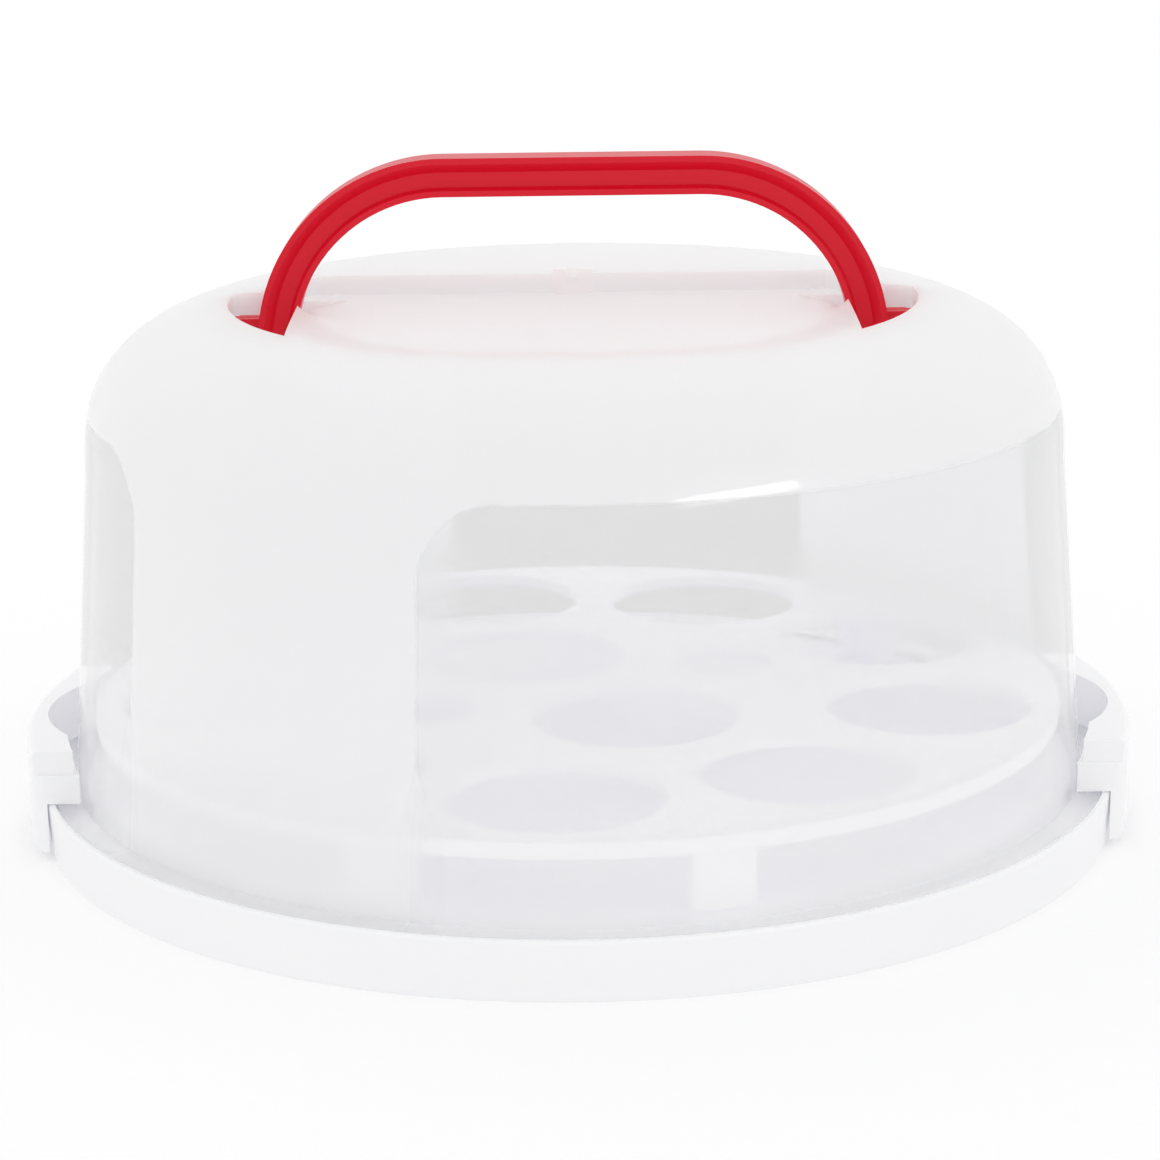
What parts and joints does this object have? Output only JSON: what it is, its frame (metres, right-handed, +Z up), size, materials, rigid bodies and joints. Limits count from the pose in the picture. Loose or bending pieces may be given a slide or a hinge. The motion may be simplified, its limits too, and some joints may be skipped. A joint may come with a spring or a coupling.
{
  "type": "cake carrier",
  "caption": "Round cake and cupcake carrier: translucent domed lid with a folding bail handle, held on a tray base by side latches, over a lift-out cupcake insert.",
  "frame": {"origin": "middle of the base on the table, under the lid's centre", "axes": "+X towards the right-hand latch, +Y towards the back where the handle folds, +Z up; -Y is the pictured front"},
  "size_m": [0.308, 0.3, 0.1849],
  "materials": {
    "base_plastic": "white moulded polypropylene, smooth",
    "insert_plastic": "white moulded polypropylene, satin",
    "lid_plastic": "frosted translucent polypropylene with clear windows, thin wall",
    "handle_plastic": "red moulded plastic, smooth",
    "latch_plastic": "white moulded polypropylene, smooth"
  },
  "bodies": {
    "base": {"base": "base_plastic"},
    "insert": {"insert": "insert_plastic"},
    "lid": {"lid": "lid_plastic"},
    "handle": {"handle": "handle_plastic"},
    "latch_left": {"latch_left": "latch_plastic"},
    "latch_right": {"latch_right": "latch_plastic"}
  },
  "joints": [
    {"name": "lid_lift", "type": "slide", "parent": "base", "child": "lid", "axis": [0, 0, 1], "range_m": [0, 0.24]},
    {"name": "insert_lift", "type": "slide", "parent": "base", "child": "insert", "axis": [0, 0, 1], "range_m": [0, 0.03]},
    {"name": "handle_swing", "type": "hinge", "parent": "lid", "child": "handle", "pos_m": [0, 0, 0.1396], "axis": [-1, 0, 0], "range_deg": [0, 66]},
    {"name": "latch_right_pivot", "type": "hinge", "parent": "base", "child": "latch_right", "pos_m": [0.15161, 0, 0.0032], "axis": [0, 1, 0], "range_deg": [0, 90]},
    {"name": "latch_left_pivot", "type": "hinge", "parent": "base", "child": "latch_left", "pos_m": [-0.15161, 0, 0.0032], "axis": [0, -1, 0], "range_deg": [0, 90]}
  ]
}
